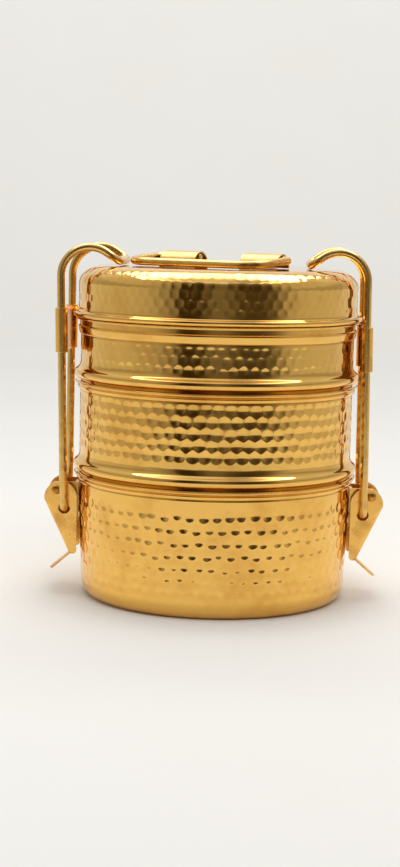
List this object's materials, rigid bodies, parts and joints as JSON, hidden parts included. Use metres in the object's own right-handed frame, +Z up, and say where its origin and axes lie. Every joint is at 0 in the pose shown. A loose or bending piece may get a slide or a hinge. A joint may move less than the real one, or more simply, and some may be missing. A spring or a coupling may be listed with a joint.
{
  "type": "tiffin carrier",
  "caption": "Hammered brass tiffin carrier: nesting food containers and a domed lid, held by an over-centre wire clip on each side, with a flat wire bail on the lid.",
  "frame": {"origin": "centre of the flat base, on the surface that the carrier stands on", "axes": "+Z up through the containers and the lid; the two clips are on the X axis; the side seen first faces -Y"},
  "size_m": [0.1726, 0.1468, 0.1791],
  "materials": {
    "hammered_brass": "polished, hammered in rows of small round dimples",
    "wire_brass": "drawn rod, polished",
    "sheet_brass": "folded sheet, satin polished",
    "rivet_brass": "peened rivet heads, slightly dull"
  },
  "bodies": {
    "base": {"bottom_container": "hammered_brass", "bracket_left": "sheet_brass", "bracket_right": "sheet_brass", "bracket_stud_left_upper": "rivet_brass", "bracket_stud_left_lower": "rivet_brass", "bracket_stud_right_upper": "rivet_brass", "bracket_stud_right_lower": "rivet_brass", "pivot_rivet_left": "rivet_brass", "pivot_rivet_right": "rivet_brass"},
    "middle_tier": {"middle_container": "hammered_brass"},
    "top_tier": {"top_container": "hammered_brass"},
    "lid_assembly": {"lid": "hammered_brass", "saddle_left": "sheet_brass", "saddle_right": "sheet_brass"},
    "bail": {"bail_handle": "wire_brass"},
    "left_lever": {"lever_left": "sheet_brass"},
    "right_lever": {"lever_right": "sheet_brass"},
    "left_clip": {"clip_wire_left": "wire_brass", "keeper_left": "sheet_brass"},
    "right_clip": {"clip_wire_right": "wire_brass", "keeper_right": "sheet_brass"}
  },
  "joints": [
    {"name": "left_lever_hinge", "type": "hinge", "parent": "base", "child": "left_lever", "pos_m": [-0.0803, 0, 0.0538], "axis": [0, 1, 0], "range_deg": [0, 105]},
    {"name": "left_clip_swing", "type": "hinge", "parent": "left_lever", "child": "left_clip", "pos_m": [-0.0761, 0, 0.0451], "axis": [0, -1, 0], "range_deg": [0, 210]},
    {"name": "right_lever_hinge", "type": "hinge", "parent": "base", "child": "right_lever", "pos_m": [0.0803, 0, 0.0538], "axis": [0, -1, 0], "range_deg": [0, 105]},
    {"name": "right_clip_swing", "type": "hinge", "parent": "right_lever", "child": "right_clip", "pos_m": [0.0761, 0, 0.0451], "axis": [0, 1, 0], "range_deg": [0, 210]},
    {"name": "middle_lift", "type": "slide", "parent": "base", "child": "middle_tier", "axis": [0, 0, 1], "range_m": [0, 0.0136]},
    {"name": "top_lift", "type": "slide", "parent": "middle_tier", "child": "top_tier", "axis": [0, 0, 1], "range_m": [0, 0.0136]},
    {"name": "lid_lift", "type": "slide", "parent": "top_tier", "child": "lid_assembly", "axis": [0, 0, 1], "range_m": [0, 0.0136]},
    {"name": "bail_hinge", "type": "hinge", "parent": "lid_assembly", "child": "bail", "pos_m": [0.00213, 0.0057, 0.1726], "axis": [-0.866, 0.5, 0], "range_deg": [0, 170]}
  ],
  "couplings": [
    {"joint": "left_lever_hinge", "follows": "middle_lift", "rad_per_m": 134.7},
    {"joint": "right_lever_hinge", "follows": "middle_lift", "rad_per_m": 134.7},
    {"joint": "left_clip_swing", "follows": "middle_lift", "rad_per_m": 269.4},
    {"joint": "right_clip_swing", "follows": "middle_lift", "rad_per_m": 269.4},
    {"joint": "top_lift", "follows": "middle_lift", "ratio": 1},
    {"joint": "lid_lift", "follows": "middle_lift", "ratio": 1}
  ]
}
